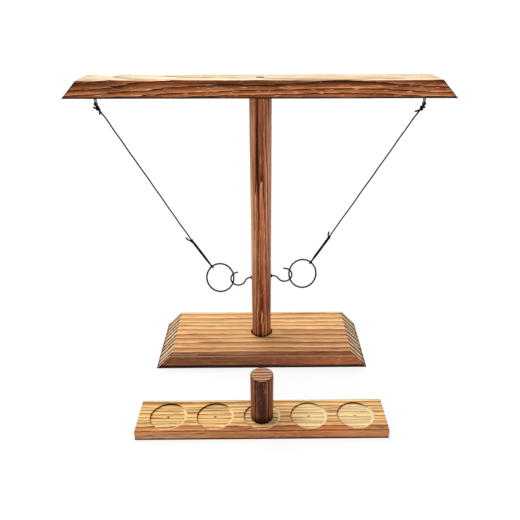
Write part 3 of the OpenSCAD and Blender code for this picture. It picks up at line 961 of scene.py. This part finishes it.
def make_crossbar():
    """The crossbar: bevelled ends, a pilot hole and a countersink for its screw."""
    low, high = node_box("crossbar")
    obj = mesh_object("bar_board", *board(low, high, BAR_BEVEL * MM, 2 * MM, 1.1 * MM))
    soften(obj, 0.45 * MM)
    carve(obj, [hole(2.2, 316, 337, sink=[(2.2, 332.1), (4.2, 334.5)])])
    grain = Grain(0, (4, 286), 4.4, wave=0.45, uneven=0.15, bow=0.38, bow_at=62, seed=23)

    def tone(p, normal):
        # The front and back take the charred palette and the top the near-white one, whose
        # brightness is partly a painted highlight.
        side = smoothstep(np.abs(normal[:, 1]), 0.2, 0.6)
        back = smoothstep(p[:, 1], 12, 20) * 0.3
        below = smoothstep(-normal[:, 2], 0.3, 0.8) * 0.5
        return 1.35 * side + back + below

    def scorch_and_shade(p, normal):
        x, _, z = p.T
        low_edge = 1 - smoothstep(z - BAR_LOW, 1.2, 2.8)
        ends = smoothstep(np.abs(normal[:, 0]), 0.4, 0.7) * 0.8
        frayed = 1.6 * lattice_noise(p / (16, 8, 4), 5) + 0.5 * lattice_noise(p / (4, 8, 2), 6)
        rise = smoothstep(x, 40, 120)
        top_band = smoothstep(z + frayed, 327.8 + 1.2 * rise, 330.0 + 1.0 * rise)
        top_band = top_band * (1 - smoothstep(z, 333.6, 334.4))
        middle = smoothstep(x, -120, -50)
        lean = smoothstep(np.abs(normal[:, 1]), 0.5, 0.9)
        left = 1 - smoothstep(x, 10, 90)
        corner = smoothstep(z + 0.05 * x + frayed, 314, 318) * (1 - smoothstep(x, -150, -90))
        from_end = BAR_HALF - (z - BAR_LOW) * BAR_BEVEL / (BAR_TOP - BAR_LOW) - np.abs(x)
        outline = 1 - smoothstep(from_end, 0.4, 2.2)
        return (0.85 * low_edge + ends + (0.10 * left + 0.36 * corner + 0.8 * outline) * lean
                + 0.66 * top_band * (0.15 + 0.85 * middle) * lean)

    dress_wood(obj, grain, 0.22 * MM, 0.5 * MM, tone, scorch_and_shade, 0)
    finish_piece(obj, WOODS["crossbar"], "stand", "crossbar")


def make_dowel(name, node, edge, grain, tone, scorch_and_shade, rest_z, wear_and_highlight=no_wear):
    """A round bar in the box of a CAD node, its two rims bevelled by edge."""
    low, high = node_box(node)
    r = (high[0] - low[0]) / 2
    middle = (low + high) / 2
    shape = filled_profile([(0, low[2]), (r - edge, low[2]), (r, low[2] + edge),
                            (r, high[2] - edge), (r - edge, high[2]), (0, high[2])], 1.0 * MM)
    obj = mesh_object(name, *moved(lathe(shape, 150), (middle[0], middle[1], 0)))
    dress_wood(obj, grain, 0.16 * MM, 0.3 * MM, tone, scorch_and_shade, rest_z, wear_and_highlight)
    return obj


def make_post():
    """The post, with a dark split down its upper half and a fork of dark grain at its foot."""
    grain = Grain(2, (-1, 16), 0.95, wave=0.36, uneven=0.25, taper=-0.6, seed=37)

    def tone(p, normal):
        x, _, z = p.T
        foot = 1 - smoothstep(z, 60, 150)
        left = smoothstep(-x, 5.0, 7.5) * 0.45
        right = smoothstep(x, 4.0, 6.5) * (0.66 - 0.30 * foot)
        return 1.02 - left - right

    def scorch_and_shade(p, normal):
        x, _, z = p.T
        facing = smoothstep(-normal[:, 1], 0.1, 0.4)
        foot = 1 - smoothstep(z, 21.5, 24)
        high = smoothstep(z, 170, 245)
        sway = x + 3.6 + 0.3 * np.sin(z / 19)
        split = 1 + 0.6 * lattice_noise(p / (1.1, 9, 40), 9)
        dark = (bell(sway, 1.3) * split + 0.34 * bell(sway + 1.2, 2.6)) * (0.10 + 0.95 * high)
        thin = bell(x - 2.2 - 0.5 * np.sin(z / 27), 0.5) * 0.55 * high
        heart = bell(x + 1.2 + 0.6 * np.sin(z / 23), 0.7) * 0.5 * (1 - high)
        top = smoothstep(z, 240, 312) * 0.12
        fork = bell(np.abs(x + 0.4) - 0.5 - 0.16 * np.maximum(z - 36, 0), 0.7)
        fork = fork * (1 - smoothstep(z, 46, 60)) * 0.85
        edge = bell(x - 8.6, 0.8) * bell(z - 70, 26) * 0.7
        return 0.5 * foot + facing * (0.95 * dark + thin + heart + top + fork + edge)

    def wear_and_highlight(p, normal):
        x, _, z = p.T
        strip = smoothstep(-x, 8.8, 10.2) * smoothstep(-normal[:, 1], -0.3, 0.2)
        height = smoothstep(z, 80, 140) * (0.35 + 0.65 * (1 - smoothstep(z, 190, 260)))
        return 0.65 * strip * height

    post = make_dowel("post_dowel", "post", 0.3 * MM, grain, tone, scorch_and_shade, 0, wear_and_highlight)
    finish_piece(post, WOODS["post"], "stand", "post")


def make_peg():
    """The marker peg, near black at its foot with burn and painted shade, and with a dark strip down
    its middle.
    """
    grain = Grain(2, (-0.8, -60), 2.076, wave=0.12, seed=43)
    strip_x = -0.8

    def tone(p, normal):
        beside = smoothstep(np.abs(p[:, 0] - strip_x), 4, 7)
        return 0.10 + 0.95 * (1 - beside) + 0.25 * (p[:, 1] > LADDER_Y + 1)

    def scorch_and_shade(p, normal):
        x, y, z = p.T
        strip = (1 - smoothstep(np.abs(x - strip_x), 3.6, 5.0)) * (normal[:, 1] < -0.3) * 0.27
        # The foot goes near black: burn with painted shade of the recess it stands in.
        foot = (1 - smoothstep(z, 10, 20)) * 0.9
        rim = smoothstep(np.hypot(x, y - LADDER_Y), 10.9, 11.6) * (z > 64.5) * 0.7
        return strip + foot + rim

    peg = make_dowel("marker_peg", "ladder_peg", 0.8 * MM, grain, tone, scorch_and_shade, RECESS_Z * MM)
    finish_piece(peg, WOODS["peg"], "peg", "ladder_peg")


def make_ladder():
    """The scoring board with its five recesses. Each has a pip in the middle of its floor."""
    low, high = node_box("ladder_board")
    obj = mesh_object("ladder_plank", *board(low, high, 0, 0, 1.0 * MM))
    soften(obj, 0.45 * MM, 60)
    pip_r, top = 0.9, 12
    recesses = []
    for i in range(-2, 3):
        pocket = hole(pip_r, RECESS_Z - 1, top, step=1.0, segments=110,
                      sink=[(pip_r, RECESS_Z), (RECESS_R, RECESS_Z)])
        recesses.append(moved(pocket, (i * RECESS_PITCH * MM, LADDER_Y * MM, 0)))
    carve(obj, recesses)
    grain = Grain(0, (-302, 6), 5.2, wave=0.42, uneven=0.22, seed=57)

    def from_recess(p):
        """x, y and distance from the nearest recess's middle. The underside counts as far away."""
        under, far = 6, 99
        nearest = np.round(np.clip(p[:, 0] / RECESS_PITCH, -2, 2))
        x, y = p[:, 0] - RECESS_PITCH * nearest, p[:, 1] - LADDER_Y
        return x, y, np.where(p[:, 2] > under, np.hypot(x, y), far)

    def tone(p, normal):
        _, y, reach = from_recess(p)
        inside = reach < RECESS_R - 0.2
        front = smoothstep(-y, 3, 24)
        edge = smoothstep(-normal[:, 1], 0.5, 0.9)
        return 0.04 + 0.95 * front * (1 - inside) - 0.22 * inside - 0.16 * edge

    def scorch_and_shade(p, normal):
        x, y, reach = from_recess(p)
        # A thin dark line round each recess rim, darker on its back-left side, where it is painted
        # shade of the recess wall.
        rim = 1 - smoothstep(np.abs(reach - RECESS_R), 0.15, 0.75)
        shaded = smoothstep(0.4 * y - 0.6 * x, -12, 6)
        # A dark line along the foot: a burnt edge with painted contact shadow.
        foot = 1 - smoothstep(p[:, 2], 1.3, 2.8)
        edge = smoothstep(p[:, 1], -118.4, -117.6) + smoothstep(np.abs(p[:, 0]), 131, 131.8)
        pip = 1 - smoothstep(reach, 0.6, 1.3)
        smudge = bell(p[:, 0] - 124, 5) * bell(p[:, 1] + 160, 2.5) * 0.4
        front = 0.16 * smoothstep(-normal[:, 1], 0.5, 0.9)
        line = bell(p[:, 1] + 163.6, 0.7) * 0.35
        return (rim * (0.22 + 0.55 * shaded) + 0.9 * foot + 0.6 * edge + 0.6 * pip + smudge
                + front + line)

    def wear_and_highlight(p, normal):
        x, y, reach = from_recess(p)
        # Each recess rim has a pale line on its front-right side, a painted highlight on the edge of
        # the lit wall; the floors of the right-hand recesses are paler.
        rim = 1 - smoothstep(np.abs(reach - RECESS_R + 0.3), 0.4, 1.2)
        floor = 0.30 * (reach < RECESS_R - 0.6) * (p[:, 2] < 9) * smoothstep(p[:, 0], 15, 60)
        return 0.9 * rim * smoothstep(0.6 * x - 0.4 * y, -2, 7) + floor

    dress_wood(obj, grain, 0.18 * MM, 0.4 * MM, tone, scorch_and_shade, 0, wear_and_highlight)
    finish_piece(obj, WOODS["ladder"], "ladder", "ladder_board")


make_base()
make_crossbar()
make_post()
make_peg()
make_ladder()


# ------------------------------ stage and light
def make_stage():
    """A wide pale floor that gives off some light of its own, like the paper of a studio."""
    half = 40
    corners = [(-half, -half, 0), (half, -half, 0), (half, half, 0), (-half, half, 0)]
    floor = mesh_object("floor", corners, [[0, 1, 2, 3]])
    m = Nodes("floor_paper")
    grainy = m.noise(40, detail=3)
    m.put(m.shader.inputs["Base Color"], m.mix(grainy, (0.17, 0.17, 0.17, 1), (0.19, 0.19, 0.19, 1)))
    m.shader.inputs["Roughness"].default_value = 0.9
    m.shader.inputs["Emission Color"].default_value = (1, 1, 1, 1)
    m.shader.inputs["Emission Strength"].default_value = 0.81
    floor.data.materials.append(m.material)


def make_light():
    """White surroundings, brighter to the camera than to the set, and one wide soft sun."""
    world = bpy.data.worlds.new("studio")
    world.use_nodes = True
    tree = world.node_tree
    background = tree.nodes["Background"]
    background.inputs["Color"].default_value = (1, 1, 1, 1)
    path = tree.nodes.new("ShaderNodeLightPath")
    level = tree.nodes.new("ShaderNodeMapRange")
    tree.links.new(path.outputs["Is Camera Ray"], level.inputs["Value"])
    level.inputs["To Min"].default_value = 0.60
    level.inputs["To Max"].default_value = 1.02
    tree.links.new(level.outputs["Result"], background.inputs["Strength"])
    scene.world = world

    sun = bpy.data.objects.new("soft_sun", bpy.data.lights.new("soft_sun", "SUN"))
    scene.collection.objects.link(sun)
    sun.data.energy = 1.9
    sun.data.angle = math.radians(50)
    sun.rotation_mode = "QUATERNION"
    sun.rotation_quaternion = Vector((0.35, -0.40, -1)).to_track_quat("-Z", "Y")
    scene.view_settings.view_transform = "Standard"


make_stage()
make_light()
